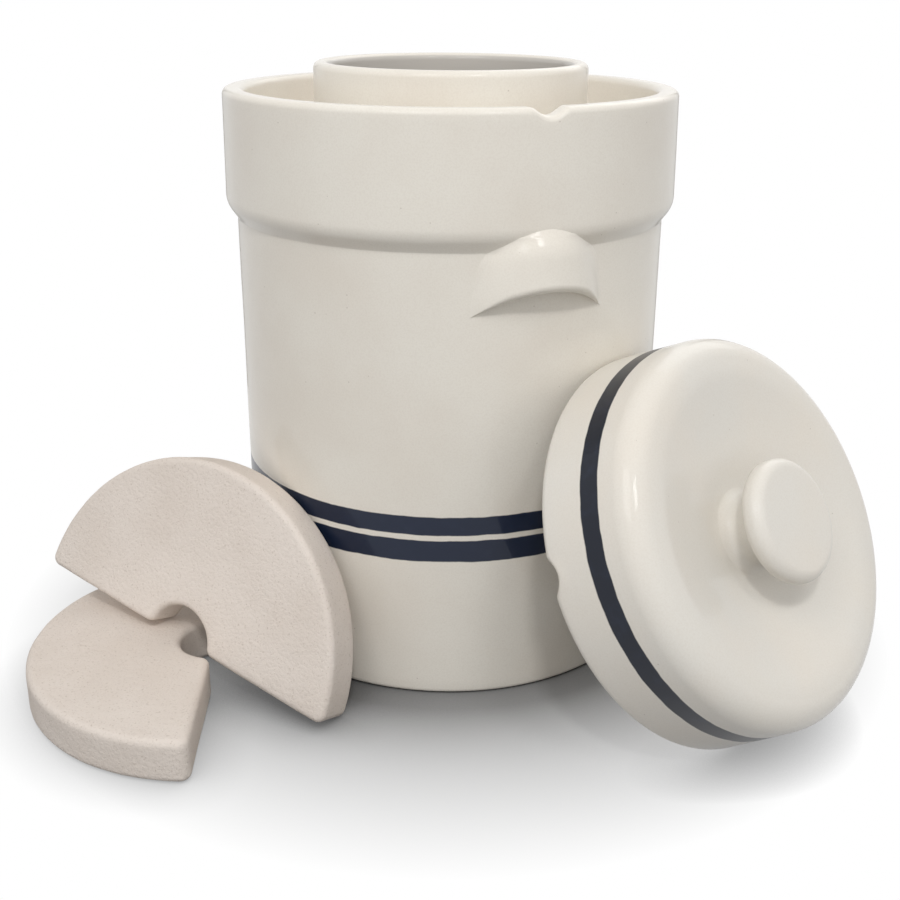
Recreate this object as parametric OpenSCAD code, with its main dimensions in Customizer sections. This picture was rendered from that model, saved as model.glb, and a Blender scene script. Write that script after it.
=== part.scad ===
// Water-seal crock: a stoneware pot with a water gutter round its mouth, a dished lid and two half-round
// weights. Millimetres, +Z up, origin at the middle of the pot's base, front handle towards -Y.
// The lid leans on the pot, one weight lies on the table and the other leans on the pot and on it.

/* [Pot] */
// Outside diameter of the straight pot
body_d = 248; // [200:1:300]
// Thickness of the pot's wall
body_wall = 11.5; // [8:0.5:16]
// Thickness of the pot's floor
floor_t = 13; // [8:0.5:20]
// Height of the seam where the collar sits on the pot
seam_z = 252; // [200:1:320]
// Rounding of the foot
foot_r = 3; // [1:0.5:6]
// Rounding between floor and wall inside
inside_r = 14; // [6:1:24]

/* [Collar and gutter] */
// How far the collar stands out from the pot
collar_swell = 5; // [2:0.5:12]
// Thickness of the gutter's outer wall
collar_wall = 12; // [9:0.5:16]
// Height of the collar from its seam to its rim
collar_h = 73; // [60:1:90]
// Plain height above the seam before the collar swells out
collar_foot = 8; // [5:0.5:12]
// Rounding of the swell, hollow below and full above
swell_r = 8; // [4:0.5:10]
// Width of the water gutter
gutter_w = 39; // [32:1:46]
// Depth of the water gutter
gutter_depth = 24; // [16:1:36]
// Rounding in the gutter's outer corner
gutter_r = 9; // [4:0.5:11]
// Rounding of the collar's rim
rim_r = 4; // [2:0.5:5]
// Thickness of the shoulder under the gutter
shoulder_t = 12; // [8:0.5:16]
// Rounding under the shoulder, inside the pot
shoulder_r = 28; // [10:1:32]
// Width of the overflow notch in the rim
overflow_w = 15; // [10:0.5:20]
// Depth of the overflow notch
overflow_depth = 6; // [4:0.5:9]

/* [Neck] */
// Thickness of the neck
neck_wall = 8.5; // [6:0.5:11]
// Height of the neck above the collar's rim
neck_rise = 13.5; // [6:0.5:24]
// Rounding of the neck's lip
lip_r = 3.5; // [1.5:0.25:4]

/* [Handles] */
// How far the middle of the lip stands out from the pot
handle_reach = 20; // [14:0.5:28]
// Width between the lip's ends, where they meet the pot
handle_w = 80; // [60:1:92]
// Height from the seam down to the middle of the lip
handle_drop = 14.5; // [8:0.5:22]
// How much lower the ends of the lip hang than its middle
handle_arch = 17.5; // [10:0.5:24]
// Slope of a handle's sides, from upright
handle_flare = 17; // [10:0.5:24]
// Height above the seam where the sides turn into the round head
handle_head = 0; // [-4:0.5:5]
// Slip between a handle and the pot
lute = 0.1; // [0.05:0.05:0.3]

/* [Lid] */
// Room between the lid's rim and the gutter's outer wall
lid_gap = 8; // [4:0.5:12]
// How much the radius draws in from the rim to the crown
lid_taper = 6; // [0:0.2:8]
// Height of the crest above the rim
lid_h = 58; // [52:1:70]
// Thickness of the lid
lid_wall = 10; // [7:0.5:12]
// Rounding of the lid's rim
lid_rim_r = 4.5; // [2:0.25:4.75]
// Rounding of the lid's outer shoulder
crown_r = 14; // [12.5:0.5:15.5]
// Width of the crest round the dish
crest_w = 20; // [19:0.5:26]
// Width of the slope down into the dish
dish_slope = 57; // [50:1:57]
// Depth of the dish
dish_depth = 15; // [10:0.5:18]
// Rounding into and out of the dish
dish_r = 38; // [20:1:42]
// Width of the gas notch in the rim
gas_w = 16; // [10:0.5:20]
// Depth of the gas notch
gas_depth = 5; // [3:0.5:8]
// Where the gas notch is, round the lid from its lowest point
gas_at = -100; // [-180:1:180]

/* [Knob] */
// Diameter of the knob's cap
knob_d = 65; // [48:1:76]
// Height of the knob's top above the lid's crest
knob_rise = 17.5; // [12:0.5:26]
// Thickness of the cap
cap_t = 13; // [10:0.5:18]
// Rounding of the cap's edge
cap_r = 6; // [3:0.25:6.25]
// Diameter of the stem
stem_d = 34; // [26:1:44]
// Rounding at each end of the stem
stem_r = 6; // [3:0.5:7]

/* [Weights] */
// Room between the pair of weights and the pot's wall
weight_gap = 6.5; // [3:0.5:14]
// Thickness of a weight
weight_t = 25; // [18:0.5:32]
// Diameter of the hole that the two notches make
weight_hole_d = 41; // [30:1:56]
// Gap between the pair when laid together
weight_split = 2.4; // [1:0.2:6]
// Rounding of a weight's edges
weight_edge = 4; // [2:0.5:7]
// Rounding of a weight's corners, seen from above
weight_corner = 6; // [4:0.5:12]

/* [Layout] */
// Bearing of the lid from the front handle
lid_bearing = 24.3; // [0:0.1:60]
// How far the lid's axis is raised from level
lid_raise = 30; // [20:0.5:45]
// Bearing that the leaning weight faces
lean_bearing = -51.3; // [-70:0.1:-30]
// How far the leaning weight's face is raised from level
lean_raise = 19; // [12:0.5:35]
// Sideways place of the leaning weight
lean_side = -82; // [-100:1:-60]
// Turn of the lying weight
lying_turn = 70.3; // [55:0.1:90]
// Room between the lying weight's straight edge and the other weight
lying_room = 7.8; // [2:0.2:14]
// Place of the lying weight along its straight edge
lying_shift = -13.8; // [-30:0.2:0]
// Clearance between pieces that lean on each other
clear = 0.3; // [0.3:0.05:1]

/* [Hidden] */
$fn = 96;
over = 1;
body_r = body_d / 2;
inner_r = body_r - body_wall;
collar_r = body_r + collar_swell;
gutter_or = collar_r - collar_wall;
neck_r = gutter_or - gutter_w;
mouth_r = neck_r - neck_wall;
rim_z = seam_z + collar_h;
gutter_z = rim_z - gutter_depth;
shoulder_z = gutter_z - shoulder_t;
neck_z = rim_z + neck_rise;
swell_z = seam_z + collar_foot;
swell_round = min(swell_r, 1.7 * collar_swell);
lid_r = gutter_or - lid_gap;
crown_x = lid_r - lid_taper;
dish_out = crown_x - crest_w;
dish_in = dish_out - dish_slope;
dish_h = lid_h - dish_depth;
knob_h = lid_h + knob_rise;
cap_h = knob_h - cap_t;
weight_r = inner_r - weight_gap;
hole_r = weight_hole_d / 2;
half_split = weight_split / 2;

glaze = [0.87, 0.85, 0.79];
bisque = [0.80, 0.75, 0.68];

// Outlines with rounded corners. A point is [x, y] or [x, y, corner radius], counterclockwise.
function unit(v) = v / norm(v);
function pt(p, i) = let (q = p[(i + len(p)) % len(p)]) [q[0], q[1]];
function rad(p, i) = len(p[i]) > 2 ? p[i][2] : 0;
function back(p, i) = unit(pt(p, i - 1) - pt(p, i));
function ahead(p, i) = unit(pt(p, i + 1) - pt(p, i));
function half_angle(p, i) = acos(back(p, i) * ahead(p, i)) / 2;
function tangent(p, i, way) = pt(p, i) + way * rad(p, i) / tan(half_angle(p, i));
function centre(p, i) = pt(p, i) + unit(back(p, i) + ahead(p, i)) * rad(p, i) / sin(half_angle(p, i));
function full(p, i) = cross(ahead(p, i), back(p, i)) > 0;

module corner(p, i) {
  a = tangent(p, i, back(p, i));
  b = tangent(p, i, ahead(p, i));
  intersection() {
    translate(centre(p, i)) circle(rad(p, i));
    polygon([a, 2 * pt(p, i) - (a + b) / 2, b]);
  }
}

module outline(p) {
  last = len(p) - 1;
  difference() {
    union() {
      polygon([for (i = [0:last]) each rad(p, i) > 0
               ? [tangent(p, i, back(p, i)), tangent(p, i, ahead(p, i))] : [pt(p, i)]]);
      for (i = [0:last]) if (rad(p, i) > 0 && full(p, i)) corner(p, i);
    }
    for (i = [0:last]) if (rad(p, i) > 0 && !full(p, i)) corner(p, i);
  }
}

// Pot: floor and straight wall up to the seam
module crock_pot() {
  color(glaze)
  rotate_extrude()
    outline([[0, 0], [body_r, 0, foot_r], [body_r, seam_z], [inner_r, seam_z],
             [inner_r, floor_t, inside_r], [0, floor_t]]);
}

// Round-bottomed notch across the rim, towards -Y: the circle has the wanted width at the rim
module rim_notch(w, depth, z, r0, r1) {
  r = (w * w / 4 + depth * depth) / (2 * depth);
  translate([0, -r0, z + r - depth])
    rotate([90, 0, 0])
      cylinder(r = r, h = r1 - r0);
}

// Collar: swells out from the pot, carries the gutter and closes in to the mouth below
module gutter_collar() {
  color(glaze)
  difference() {
    rotate_extrude()
      outline([[inner_r, seam_z], [body_r, seam_z], [body_r, swell_z, swell_round],
               [collar_r, swell_z + collar_swell, swell_round], [collar_r, rim_z, rim_r],
               [gutter_or, rim_z, rim_r], [gutter_or, gutter_z, gutter_r], [mouth_r, gutter_z],
               [mouth_r, shoulder_z, shoulder_t / 3], [inner_r, shoulder_z, shoulder_r]]);
    rim_notch(overflow_w, overflow_depth, rim_z, gutter_or - over, collar_r + over);
  }
}

// Neck: plain ring standing on the gutter's floor
module neck_ring() {
  color(glaze)
  rotate_extrude()
    outline([[mouth_r, gutter_z], [neck_r, gutter_z], [neck_r, neck_z, lip_r], [mouth_r, neck_z, lip_r]]);
}

// Seat of a handle: the pot and collar with the slip round them, their roundings bridged by straight lines
module handle_seat(g) {
  t = swell_round * tan(22.5);
  rotate_extrude()
    polygon([[0, -over], [body_r + g, -over], [body_r + g, swell_z - t],
             [body_r + g + t * sqrt(0.5), swell_z + t * sqrt(0.5)],
             [collar_r + g, swell_z + collar_swell], [collar_r + g, rim_z], [0, rim_z]]);
}

// Lug handle: a flaring bell with a round head, on an upright axis inside the wall, arched underneath and cut
// to the pot's face. The axis is placed so that the lip has its reach in the middle and its width at the pot.
module lug() {
  half = handle_w / 2;
  flare = tan(handle_flare);
  lip_z = seam_z - handle_drop;
  end_z = lip_z - handle_arch;
  head_z = seam_z + handle_head;
  reach = body_r + handle_reach;
  end_reach = reach + handle_arch * flare;
  wall_y = sqrt(body_r * body_r - half * half);
  axis_y = (end_reach * end_reach - half * half - wall_y * wall_y) / (2 * (end_reach - wall_y));
  arch_r = (half * half + handle_arch * handle_arch) / (2 * handle_arch);
  foot = end_reach - axis_y + over * flare;
  neck = reach - axis_y - (head_z - lip_z) * flare;
  head_r = neck / cos(handle_flare);
  difference() {
    translate([0, -axis_y, 0]) {
      translate([0, 0, end_z - over])
        cylinder(r1 = foot, r2 = neck, h = head_z - end_z + over);
      translate([0, 0, head_z - head_r * sin(handle_flare)])
        sphere(head_r);
    }
    translate([0, 0, lip_z - arch_r])
      rotate([90, 0, 0])
        cylinder(r = arch_r, h = end_reach + over);
    handle_seat(lute);
  }
}

module front_handle() {
  color(glaze) lug();
}

module rear_handle() {
  color(glaze) rotate([0, 0, 180]) lug();
}

// Lid's stance: rim on the table at its lowest point, and on the pot at its highest
lid_edge_r = lid_r - lid_rim_r / tan((90 - atan(lid_taper / lid_h)) / 2);
lid_z = lid_edge_r * cos(lid_raise) + lid_rim_r * (1 - sin(lid_raise));
lid_out = body_r + clear + lid_rim_r * (1 - cos(lid_raise)) + lid_edge_r * sin(lid_raise);

module stand_lid() {
  rotate([0, 0, lid_bearing])
    translate([0, -lid_out, lid_z])
      rotate([90 - lid_raise, 0, 0])
        children();
}

// Lid: the outer turned form less the inner one, a wall's thickness inside it
module lid_shell() {
  slope = atan(dish_depth / dish_slope);
  aside = lid_wall * tan(slope / 2);
  inner_h = lid_h - lid_wall;
  inner_rim = lid_r - lid_wall;
  inner_crown = crown_x - lid_wall + lid_taper * lid_wall / lid_h;
  color(glaze)
  stand_lid()
    difference() {
      rotate_extrude()
        outline([[inner_rim, 0, lid_rim_r], [lid_r, 0, lid_rim_r], [crown_x, lid_h, crown_r],
                 [dish_out, lid_h, dish_r], [dish_in, dish_h, dish_r], [0, dish_h],
                 [0, dish_h - lid_wall], [dish_in + aside, dish_h - lid_wall, dish_r + lid_wall],
                 [dish_out + aside, inner_h, dish_r - lid_wall],
                 [inner_crown, inner_h, crown_r - lid_wall]]);
      rotate([0, 0, gas_at])
        mirror([0, 0, 1])
          rim_notch(gas_w, gas_depth, 0, inner_rim - lid_rim_r, lid_r + over);
    }
}

// Knob: mushroom on a waisted stem, standing on the dish's flat
module lid_knob() {
  stem = stem_d / 2;
  color(glaze)
  stand_lid()
    rotate_extrude()
      outline([[0, dish_h], [stem + stem_r / 2, dish_h], [stem, dish_h + stem_r, stem_r / 2],
               [stem, cap_h, stem_r], [knob_d / 2, cap_h, cap_r], [knob_d / 2, knob_h, cap_r], [0, knob_h]]);
}

// One weight, flat on z = 0: half of a thick ring, straight edge along X, body towards +Y
module ear(x, y, far, near) {
  linear_extrude(weight_t + 2 * over)
    difference() {
      polygon([[x, y], far, [far[0], half_split - over], [x, half_split - over]]);
      translate([x, y]) circle(near);
    }
}

module half_weight() {
  c = weight_corner;
  cy = half_split + c;
  out_x = sqrt(pow(weight_r - c, 2) - cy * cy);
  in_x = sqrt(pow(hole_r + c, 2) - cy * cy);
  out_k = weight_r / (weight_r - c);
  in_k = hole_r / (hole_r + c);
  difference() {
    intersection() {
      rotate_extrude()
        outline([[hole_r, 0, weight_edge], [weight_r, 0, weight_edge], [weight_r, weight_t, weight_edge],
                 [hole_r, weight_t, weight_edge]]);
      rotate([90, 0, 90])
        translate([0, 0, -weight_r - over])
          linear_extrude(2 * (weight_r + over))
            outline([[half_split, 0, weight_edge], [weight_r + over, 0], [weight_r + over, weight_t],
                     [half_split, weight_t, weight_edge]]);
    }
    for (s = [0, 1])
      mirror([s, 0, 0])
        translate([0, 0, -over]) {
          ear(out_x, cy, [out_x, cy] * out_k * 1.02, c);
          ear(in_x, cy, [in_x, cy] * in_k * 0.9, c);
        }
  }
}

// Leaning weight's stance. Its straight edge slopes so that the notch's upper corner rests on the lying
// weight while the lower corner is on the table; then it slides up to the pot.
lean_up = cos(lean_raise);
lean_roll = asin((weight_t + clear) / (lean_up * (weight_r + hole_r)));
lean_inset = weight_r - weight_edge;
function lean_turn(p) = let (
  x = p[0] * cos(lean_roll) + p[1] * sin(lean_roll),
  y = p[1] * cos(lean_roll) - p[0] * sin(lean_roll))
  [x, y * sin(lean_raise) - p[2] * lean_up, y * lean_up + p[2] * sin(lean_raise)];
lean_edge = [for (a = [0:2:180], z = [weight_edge, weight_t - weight_edge])
  lean_turn([lean_inset * cos(a), max(lean_inset * sin(a), half_split + weight_edge), z])];
lean_z = weight_edge - min([for (q = lean_edge) q[2]]);
lean_reach = body_r + clear + weight_edge;
lean_out = max([for (q = lean_edge) abs(q[0] + lean_side) < lean_reach
  ? sqrt(pow(lean_reach, 2) - pow(q[0] + lean_side, 2)) + q[1] : 0]);

module leaning_weight() {
  color(bisque)
  rotate([0, 0, lean_bearing])
    translate([lean_side, -lean_out, lean_z])
      rotate([90 - lean_raise, 0, 0])
        rotate([0, 0, -lean_roll])
          half_weight();
}

// Lying weight's place: its straight edge keeps clear of the other weight's lower half, and of the pot
function turn(p, a) = [p[0] * cos(a) - p[1] * sin(a), p[0] * sin(a) + p[1] * cos(a)];
lean_mid = turn([lean_side, -lean_out], lean_bearing);
lean_along = turn([cos(lean_roll), -sin(lean_roll) * sin(lean_raise)], lean_bearing);
lying_face = turn([0, -1], lying_turn);
lying_along = turn([1, 0], lying_turn);
lying_edge = min(lean_mid * lying_face + hole_r * (lean_along * lying_face) - lying_room, -body_r - clear);
lying_at = (lying_edge + half_split) * lying_face + (lean_mid * lying_along + lying_shift) * lying_along;

module lying_weight() {
  color(bisque)
  translate([lying_at[0], lying_at[1], 0])
    rotate([0, 0, lying_turn])
      half_weight();
}

crock_pot();
gutter_collar();
neck_ring();
front_handle();
rear_handle();
lid_shell();
lid_knob();
lying_weight();
leaning_weight();
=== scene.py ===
# %% [markdown]
# # A water-seal crock, dressed around its CAD frame
# The crock is white-glazed stoneware: a straight pot, a collar that holds a ring of water, a short
# neck, two lug handles and a dished lid with a mushroom knob. Two half-round weights of bare fired
# clay lie beside it. The CAD model gives the sizes and places. This lesson makes each piece again
# as a dense mesh with soft edges, and gives it a glaze or a bare clay finish.

# %% Load the CAD frame
import math

import bmesh
import bpy
from mathutils import Matrix, Vector, noise


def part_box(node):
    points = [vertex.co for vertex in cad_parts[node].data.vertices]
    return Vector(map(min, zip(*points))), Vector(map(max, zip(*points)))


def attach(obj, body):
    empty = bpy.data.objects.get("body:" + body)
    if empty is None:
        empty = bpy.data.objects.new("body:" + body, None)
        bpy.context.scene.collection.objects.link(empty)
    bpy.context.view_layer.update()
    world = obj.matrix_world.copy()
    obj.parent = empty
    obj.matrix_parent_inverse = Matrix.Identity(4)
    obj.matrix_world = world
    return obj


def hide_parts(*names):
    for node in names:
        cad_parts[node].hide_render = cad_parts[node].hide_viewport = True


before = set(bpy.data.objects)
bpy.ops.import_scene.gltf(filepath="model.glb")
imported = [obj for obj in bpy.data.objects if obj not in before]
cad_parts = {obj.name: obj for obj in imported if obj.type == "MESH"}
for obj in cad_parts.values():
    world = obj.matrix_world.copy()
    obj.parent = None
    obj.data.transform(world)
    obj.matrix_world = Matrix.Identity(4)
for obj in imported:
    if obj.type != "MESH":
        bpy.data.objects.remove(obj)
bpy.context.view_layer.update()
scene = bpy.context.scene
scene.view_settings.view_transform = "Standard"

# %% [markdown]
# ## Sizes
# The drawing is in millimetres and Blender works in metres, so one factor turns the first into the
# second. A size that shows in the box of a CAD node is read from the frame, so that it follows the
# drawing. The others are the drawing's own values or were fitted to the photograph, and each is
# written once, where it is first needed. These are the ones that several pieces share.

# %% Sizes that the pieces share
MM = 0.001


def cad_reach(node):
    """How far a node reaches along X, in mm: the outside radius of a turned piece."""
    return round(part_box(node)[1][0] / MM, 1)


def cad_foot_and_top(node):
    """The heights of a node's lowest and highest point, in mm."""
    low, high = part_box(node)
    return round(low[2] / MM, 1), round(high[2] / MM, 1)


POT_R = cad_reach("crock_pot")
COLLAR_R = cad_reach("gutter_collar")
NECK_R = cad_reach("neck_ring")
SEAM_Z, RIM_Z = cad_foot_and_top("gutter_collar")
GUTTER_Z, NECK_Z = cad_foot_and_top("neck_ring")
BORE_R = 112.5
MOUTH_R = 69.5
print("pot", POT_R, "collar", COLLAR_R, "neck", NECK_R, "across from the axis, in mm")
print("seam at", SEAM_Z, "gutter floor", GUTTER_Z, "rim", RIM_Z, "mouth", NECK_Z)

# %% [markdown]
# ## Camera
# A camera fitted to the photograph's rims, foot and stripes stands 736 mm from the pot's axis and
# 386 mm above the table, on a bearing of 22.5 degrees to the left of the front handle. It could be
# placed by eye, but a fit to circles of known size is surer. Its lens and its slight roll come from
# the same fit. The picture needs no shift and no depth of field.

# %% Make the camera
BEARING = math.radians(-22.5)
CAMERA_OUT = 735.89
CAMERA_UP = 386.05
PITCH = 0.3689
YAW = 0.0014
ROLL = 0.0069
LENS = 49.593
SENSOR = 36.0

camera = bpy.data.objects.new("photo_camera", bpy.data.cameras.new("photo_camera"))
scene.collection.objects.link(camera)
camera.data.sensor_width = SENSOR
camera.data.lens = LENS
turn_to_photo = Matrix.Rotation(BEARING, 4, "Z")
look = Vector((math.sin(YAW) * math.cos(PITCH), math.cos(YAW) * math.cos(PITCH), -math.sin(PITCH)))
side = Vector((math.cos(YAW), -math.sin(YAW), 0.0))
upright = side.cross(look)
tilted_side = math.cos(ROLL) * side + math.sin(ROLL) * upright
tilted_up = math.cos(ROLL) * upright - math.sin(ROLL) * side
axes = Matrix((tilted_side, tilted_up, -look)).transposed().to_4x4()
stand = Matrix.Translation(Vector((0.0, -CAMERA_OUT, CAMERA_UP)) * MM)
camera.matrix_world = turn_to_photo @ stand @ axes
scene.camera = camera
print("camera at", [round(v, 3) for v in camera.matrix_world.translation])

# %% [markdown]
# ## Drawing an outline
# A potter turns a form from its outline. Here one vertex draws that outline: it is extruded along
# the straight lines and spun round each corner about the corner's centre. A curve object could do
# the same, but a mesh can be pressed and waved at once. Long lines are cut into short steps, so
# that the wall has enough vertices to take the slight waves of hand-finished clay.

# %% Draw an outline
NO_LENGTH = 1e-4
LEAST_STEPS = 3


def only_verts(geom):
    """The vertices among the things that an operator gives back."""
    return [g for g in geom if isinstance(g, bmesh.types.BMVert)]


def draw_outline(points, step=6.0, arc_step=1.2):
    """A chain of edges through points (reach, height) in mm. A third number rounds that corner."""
    bm = bmesh.new()
    axis = Vector((0, -1, 0))

    def place(p):
        return Vector((p.x, 0, p.y)) * MM

    def line(tip, a, b):
        count = max(1, round((b - a).length / step))
        for i in range(count):
            tip = bmesh.ops.extrude_vert_indiv(bm, verts=[tip])["verts"][0]
            tip.co = place(a.lerp(b, (i + 1) / count))
        return tip

    here = Vector(points[0][:2])
    tip = bm.verts.new(place(here))
    for before, corner, after in zip(points, points[1:], points[2:] + [None]):
        at = Vector(corner[:2])
        if after is None or len(corner) < 3:
            tip = line(tip, here, at)
            here = at
            continue
        radius = corner[2]
        back = (Vector(before[:2]) - at).normalized()
        ahead = (Vector(after[:2]) - at).normalized()
        half = back.angle(ahead) / 2
        begin = at + back * radius / math.tan(half)
        if (begin - here).length > NO_LENGTH:
            tip = line(tip, here, begin)
        centre = at + (back + ahead).normalized() * radius / math.sin(half)
        sweep = math.pi - 2 * half
        left = (at - Vector(before[:2])).cross(Vector(after[:2]) - at) > 0
        made = bmesh.ops.spin(
            bm, geom=[tip], cent=place(centre), axis=axis if left else -axis, angle=sweep,
            steps=max(LEAST_STEPS, round(radius * sweep / arc_step)), use_duplicate=False)
        tip = only_verts(made["geom_last"])[0]
        here = at + ahead * radius / math.tan(half)
    return bm


# %% [markdown]
# ## Turning
# On the wheel a form gets its roundness from the turning. The outline is spun about the upright
# axis in the same way, and the doubled vertices on the axis and at the seam are merged. A spin in
# sections can take closer steps where a notch will be pressed. A Screw modifier would space its
# steps evenly all round.

# %% Spin an outline
SAME_SPOT = 2e-6


def turn_round(bm, sections=((360, 300),)):
    """Spin the outline about Z in sections of (degrees, steps), and close it."""
    geom = bm.verts[:] + bm.edges[:]
    for degrees, steps in sections:
        made = bmesh.ops.spin(bm, geom=geom, axis=(0, 0, 1), cent=(0, 0, 0), steps=steps,
                              angle=math.radians(degrees), use_merge=len(sections) == 1,
                              use_duplicate=False)
        geom = made["geom_last"]
    bmesh.ops.remove_doubles(bm, verts=bm.verts[:], dist=SAME_SPOT)
    bmesh.ops.recalc_face_normals(bm, faces=bm.faces[:])
    return bm


# %% [markdown]
# ## From mesh to piece
# Hand-finished clay is never quite round, so a slow noise moves the walls in and out a little. It
# could be bump in the material, but then the outline would stay perfect. Each finished mesh becomes
# an object at the origin that rides on its body, and its CAD node is hidden in its place. Edges
# sharper than 50 degrees, which are only at hidden seams, keep hard normals.

# %% Small waves and the finished piece
SHARP = math.radians(50)
ON_AXIS = 1e-5


def wave(bm, depth=0.16, size=55.0):
    """Push the wall in and out by a slow noise, in mm, the same for pieces that meet."""
    for v in bm.verts:
        r = math.hypot(v.co.x, v.co.y)
        if r > ON_AXIS:
            push = depth * MM * noise.noise(v.co / (size * MM))
            v.co.x += v.co.x / r * push
            v.co.y += v.co.y / r * push
    return bm


def put_in_scene(bm, name, material):
    """The finished mesh as an object at the origin."""
    mesh = bpy.data.meshes.new(name)
    bm.to_mesh(mesh)
    bm.free()
    mesh.materials.append(material)
    obj = bpy.data.objects.new(name, mesh)
    scene.collection.objects.link(obj)
    return obj


def make_piece(bm, name, material, body, node):
    """A smooth-shaded piece that rides on its body, with its CAD node hidden in its place."""
    bm.normal_update()
    for f in bm.faces:
        f.smooth = True
    for e in bm.edges:
        if len(e.link_faces) == 2 and e.calc_face_angle() > SHARP:
            e.smooth = False
    obj = put_in_scene(bm, name, material)
    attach(obj, body)
    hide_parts(node)
    print(name, len(obj.data.vertices), "vertices", len(obj.data.polygons), "faces")


# %% [markdown]
# ## Node helpers
# A finish is a small tree of nodes. It could be wired by hand in the editor, but a script is easier
# to read and to change. These helpers add a node, set its inputs and link it, so that each finish
# below reads as a list of steps.


# %% Helpers for nodes
def add(tree, kind, inputs=None, **settings):
    """Add a node, set its settings, and set or link its inputs by name or number."""
    n = tree.nodes.new(kind)
    for key, value in settings.items():
        setattr(n, key, value)
    for key, value in (inputs or {}).items():
        if isinstance(value, bpy.types.NodeSocket):
            tree.links.new(value, n.inputs[key])
        else:
            n.inputs[key].default_value = value
    return n


def mixed(tree, share, a, b):
    """Colour a where the share is 0, and colour b where it is 1."""
    return add(tree, "ShaderNodeMix", {0: share, 6: a, 7: b}, data_type="RGBA").outputs[2]


def ramped(tree, value, low, high):
    """0 at low, 1 at high and smooth between, also where low is the larger."""
    return add(tree, "ShaderNodeMapRange", {"Value": value, "From Min": low, "From Max": high},
               interpolation_type="SMOOTHSTEP").outputs["Result"]


def maths(tree, operation, a, b):
    """One sum of two numbers or sockets."""
    return add(tree, "ShaderNodeMath", {0: a, 1: b}, operation=operation).outputs[0]


def noised(tree, where, scale, detail=2.0, rough=0.5):
    """A noise from 0 to 1, with scale features to the metre."""
    return add(tree, "ShaderNodeTexNoise", {"Vector": where, "Scale": scale, "Detail": detail,
                                            "Roughness": rough}).outputs["Fac"]


# %% [markdown]
# ## Colours and new finishes
# A colour picked from a picture is stored in steps that suit the eye, while shaders reckon with
# linear light. Typed in as it is, it would come out too pale, so a formula turns it round first.
# Every finish then starts from an emptied tree with one Principled shader, because that is the
# shader whose values other programs understand.


# %% Helpers for finishes
def srgb(r, g, b):
    """A colour as a picture shows it, turned into the linear values that shaders use."""
    return tuple((c / 12.92 if c <= 0.04045 else ((c + 0.055) / 1.055) ** 2.4)
                 for c in (r / 255, g / 255, b / 255)) + (1.0,)


def grey(v):
    """A grey, in the linear values that shaders use."""
    return (v, v, v, 1.0)


def bare_tree(owner):
    """The emptied node tree of a material or a world."""
    owner.use_nodes = True
    owner.node_tree.nodes.clear()
    return owner.node_tree


def new_finish(name):
    """A new material with one shader: the material, its tree and the shader."""
    material = bpy.data.materials.new(name)
    tree = bare_tree(material)
    shader = add(tree, "ShaderNodeBsdfPrincipled")
    add(tree, "ShaderNodeOutputMaterial", {"Surface": shader.outputs[0]})
    return material, tree, shader


# %% [markdown]
# ## White glaze
# The glaze is a warm white with a faint cloudiness, a fine grain and a few tiny specks of iron that
# rise from the clay. An image could show them, but noise on Object coordinates has no seams and
# stays with its piece. A Voronoi texture sets the specks, and only the few cells whose own colour
# is near 1 get one.

# %% The white ground
CREAM = srgb(233, 228, 218)
WARM = srgb(227, 220, 209)
GRAIN = srgb(207, 197, 184)
IRON = srgb(140, 122, 104)
GRAIN_SHARE = 0.16
IRON_SHARE = 0.35


def white_ground(tree, where, white):
    """Cloudy white with a fine grain and a few specks of iron."""
    cloud = ramped(tree, noised(tree, where, scale=16.0, detail=3.0), 0.3, 0.8)
    colour = mixed(tree, cloud, white, WARM)
    grain = ramped(tree, noised(tree, where, scale=1100.0, detail=1.0), 0.35, 0.75)
    colour = mixed(tree, maths(tree, "MULTIPLY", grain, GRAIN_SHARE), colour, GRAIN)
    dots = add(tree, "ShaderNodeTexVoronoi", {"Vector": where, "Scale": 240.0}).outputs
    near = ramped(tree, dots["Distance"], 0.11, 0.07)
    lot = add(tree, "ShaderNodeSeparateColor", {0: dots["Color"]}).outputs[0]
    few = ramped(tree, lot, 0.95, 0.96)
    specks = maths(tree, "MULTIPLY", maths(tree, "MULTIPLY", near, few), IRON_SHARE)
    return mixed(tree, specks, colour, IRON)


# %% [markdown]
# ## Painted bands
# The navy bands are painted under the glaze, with a brush held against the turning pot, so their
# edges waver by a fraction of a millimetre and the colour runs a little thin in places. They could
# be faces with a colour of their own, but then they would need cuts in the wall. Here they are
# placed by height and by distance from the axis.

# %% Where the bands are painted
NAVY = srgb(20, 31, 53)
NAVY_THIN = srgb(30, 40, 62)
THIN_SHARE = 0.5
EDGE_SOFT = 0.35
EDGE_WAVER = 1.1
REACH_SOFT = 1.0


def painted_bands(tree, where, height, reach, bands, band_reach):
    """1 between the heights of a band, in mm, and outside the band's reach. 0 elsewhere."""
    swing = maths(tree, "SUBTRACT", noised(tree, where, scale=90.0), 0.5)
    height = maths(tree, "ADD", height, maths(tree, "MULTIPLY", swing, EDGE_WAVER * MM))
    paint = 0.0
    for low, high in bands:
        rise = ramped(tree, height, (low - EDGE_SOFT) * MM, (low + EDGE_SOFT) * MM)
        fall = ramped(tree, height, (high + EDGE_SOFT) * MM, (high - EDGE_SOFT) * MM)
        paint = maths(tree, "MAXIMUM", paint, maths(tree, "MULTIPLY", rise, fall))
    outside = ramped(tree, reach, (band_reach - REACH_SOFT) * MM, band_reach * MM)
    return maths(tree, "MULTIPLY", paint, outside)


def navy_paint(tree, where, dark):
    """Navy that runs thin in places."""
    thin = ramped(tree, noised(tree, where, scale=120.0, detail=4.0), 0.45, 0.85)
    return mixed(tree, maths(tree, "MULTIPLY", thin, THIN_SHARE), dark, NAVY_THIN)
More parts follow.
